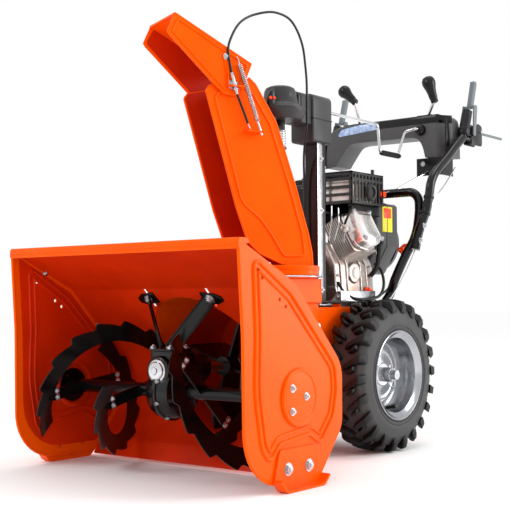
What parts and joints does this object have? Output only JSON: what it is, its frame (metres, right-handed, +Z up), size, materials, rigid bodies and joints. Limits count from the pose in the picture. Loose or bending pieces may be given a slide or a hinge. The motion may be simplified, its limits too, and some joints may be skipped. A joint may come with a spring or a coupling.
{
  "type": "snow blower",
  "caption": "Walk-behind two-stage wheeled snow blower with auger housing, turning discharge chute with tilting deflector, petrol engine, lugged tyres and handlebars with console.",
  "frame": {"origin": "centre of the machine's footprint box, on the ground the tyres and skid shoes rest on", "axes": "+Z up, -Y towards the auger (front), +X towards the machine's left"},
  "size_m": [0.768, 1.484, 1.1292],
  "materials": {
    "orange_enamel": "gloss enamel on pressed sheet",
    "black_paint": "gloss black enamel",
    "zinc_steel": "zinc plated",
    "bronze": "machined bronze",
    "moulded_grey": "moulded dark grey",
    "moulded_black": "moulded black",
    "cable_black": "satin sheath",
    "rubber": "matte",
    "tyre": "matte",
    "cast_aluminium": "die cast",
    "cast_iron": "rough cast, painted",
    "muffler_steel": "heat-proof satin paint",
    "orange_plastic": "moulded orange",
    "grey_lever": "satin grey powder coat"
  },
  "bodies": {
    "chassis": {"side_plate_left": "orange_enamel", "side_plate_right": "orange_enamel", "housing_wrap": "orange_enamel", "housing_top_bar": "orange_enamel", "scraper_bar": "black_paint", "skid_shoes": "orange_enamel", "housing_fasteners": "zinc_steel", "auger_bearings": "black_paint", "impeller_housing": "orange_enamel", "gearcase_bracket": "black_paint", "auger_gearcase": "black_paint", "gearcase_cap": "zinc_steel", "belt_cover": "moulded_black", "drive_belt": "rubber", "frame_box": "orange_enamel", "deflector_cable": "cable_black", "chute_post": "black_paint", "gear_cover": "moulded_grey", "crankcase": "cast_aluminium", "cylinder_block": "cast_iron", "valve_cover": "cast_aluminium", "muffler": "muffler_steel", "muffler_guard": "muffler_steel", "blower_housing": "moulded_grey", "recoil_cover": "moulded_grey", "fuel_tank": "moulded_black", "carburetor_cover": "moulded_black", "lower_handlebar": "black_paint", "handlebars": "black_paint", "grips": "moulded_black", "console": "moulded_grey", "console_bracket": "black_paint", "axle": "zinc_steel"},
    "auger": {"auger_shaft": "black_paint", "auger_arms": "black_paint", "auger_flight_left": "black_paint", "auger_flight_right": "black_paint", "worm_wheel": "bronze"},
    "impeller_rotor": {"impeller": "black_paint", "impeller_shaft": "zinc_steel", "impeller_pulley": "zinc_steel"},
    "crankshaft": {"crank_pulley": "zinc_steel"},
    "chute_body": {"chute": "orange_enamel", "chute_drive": "moulded_black", "cable_lead": "cable_black", "deflector_spring": "zinc_steel"},
    "deflector_body": {"deflector": "orange_enamel"},
    "chute_crank": {"crank_rod": "zinc_steel"},
    "crank_grip_body": {"crank_grip": "moulded_black"},
    "recoil_body": {"recoil_handle": "orange_plastic"},
    "fuel_cap_body": {"fuel_cap": "moulded_black"},
    "clutch_left": {"clutch_lever_left": "grey_lever"},
    "clutch_right": {"clutch_lever_right": "grey_lever"},
    "speed_selector": {"speed_lever": "moulded_black"},
    "deflector_control": {"deflector_lever": "moulded_black"},
    "lock_lever_body": {"lock_lever": "grey_lever"},
    "wheel_left_body": {"tyre_left": "tyre", "rim_left": "zinc_steel"},
    "wheel_right_body": {"tyre_right": "tyre", "rim_right": "zinc_steel"}
  },
  "joints": [
    {"name": "auger_spin", "type": "hinge", "parent": "chassis", "child": "auger", "pos_m": [0, -0.547, 0.19], "axis": [1, 0, 0], "continuous": true},
    {"name": "impeller_spin", "type": "hinge", "parent": "chassis", "child": "impeller_rotor", "pos_m": [0, -0.241, 0.24], "axis": [0, 1, 0], "continuous": true},
    {"name": "crankshaft_spin", "type": "hinge", "parent": "chassis", "child": "crankshaft", "pos_m": [0, -0.091, 0.478], "axis": [0, 1, 0], "continuous": true},
    {"name": "chute_turn", "type": "hinge", "parent": "chassis", "child": "chute_body", "pos_m": [0.09, -0.241, 0.48], "axis": [0, 0, 1], "range_deg": [-76, 110], "deforming": ["deflector_cable"]},
    {"name": "deflector_tilt", "type": "hinge", "parent": "chute_body", "child": "deflector_body", "pos_m": [0.02332, -0.40604, 0.925], "axis": [0.9272, -0.3746, 0], "range_deg": [0, 60], "deforming": ["cable_lead", "deflector_spring"]},
    {"name": "chute_crank_turn", "type": "hinge", "parent": "chassis", "child": "chute_crank", "pos_m": [0.093, 0.059, 0.912], "axis": [0, 1, 0], "range_deg": [-400, 400]},
    {"name": "crank_grip_spin", "type": "hinge", "parent": "chute_crank", "child": "crank_grip_body", "pos_m": [0.093, 0.289, 0.832], "axis": [0, 1, 0], "continuous": true},
    {"name": "clutch_left_squeeze", "type": "hinge", "parent": "chassis", "child": "clutch_left", "pos_m": [0.235, 0.52, 0.908], "axis": [1, 0, 0], "range_deg": [0, 20], "stiffness_Nm_per_rad": 1},
    {"name": "clutch_right_squeeze", "type": "hinge", "parent": "chassis", "child": "clutch_right", "pos_m": [-0.235, 0.52, 0.908], "axis": [1, 0, 0], "range_deg": [0, 20], "stiffness_Nm_per_rad": 1},
    {"name": "speed_shift", "type": "hinge", "parent": "chassis", "child": "speed_selector", "pos_m": [0.126, 0.447, 0.94], "axis": [1, 0, 0], "range_deg": [-12, 10]},
    {"name": "deflector_control_shift", "type": "hinge", "parent": "chassis", "child": "deflector_control", "pos_m": [-0.104, 0.455, 0.94], "axis": [1, 0, 0], "range_deg": [-2, 26]},
    {"name": "lock_lever_pull", "type": "hinge", "parent": "chassis", "child": "lock_lever_body", "pos_m": [0.235, 0.573, 0.916], "axis": [1, 0, 0], "range_deg": [-12, 0], "stiffness_Nm_per_rad": 0.6},
    {"name": "fuel_cap_turn", "type": "hinge", "parent": "chassis", "child": "fuel_cap_body", "pos_m": [-0.126, 0.157, 0.742], "axis": [0, 0, 1], "range_deg": [0, 90]},
    {"name": "recoil_pull", "type": "slide", "parent": "chassis", "child": "recoil_body", "axis": [0, 1, 0], "range_m": [0, 0.6], "stiffness_N_per_m": 8, "springref_m": -0.2},
    {"name": "wheel_left_spin", "type": "hinge", "parent": "chassis", "child": "wheel_left_body", "pos_m": [0.199, 0.059, 0.203], "axis": [1, 0, 0], "continuous": true},
    {"name": "wheel_right_spin", "type": "hinge", "parent": "chassis", "child": "wheel_right_body", "pos_m": [-0.199, 0.059, 0.203], "axis": [1, 0, 0], "continuous": true}
  ],
  "couplings": [
    {"joint": "impeller_spin", "follows": "auger_spin", "ratio": 10},
    {"joint": "chute_crank_turn", "follows": "chute_turn", "ratio": 3},
    {"joint": "deflector_control_shift", "follows": "deflector_tilt", "ratio": 0.4}
  ]
}
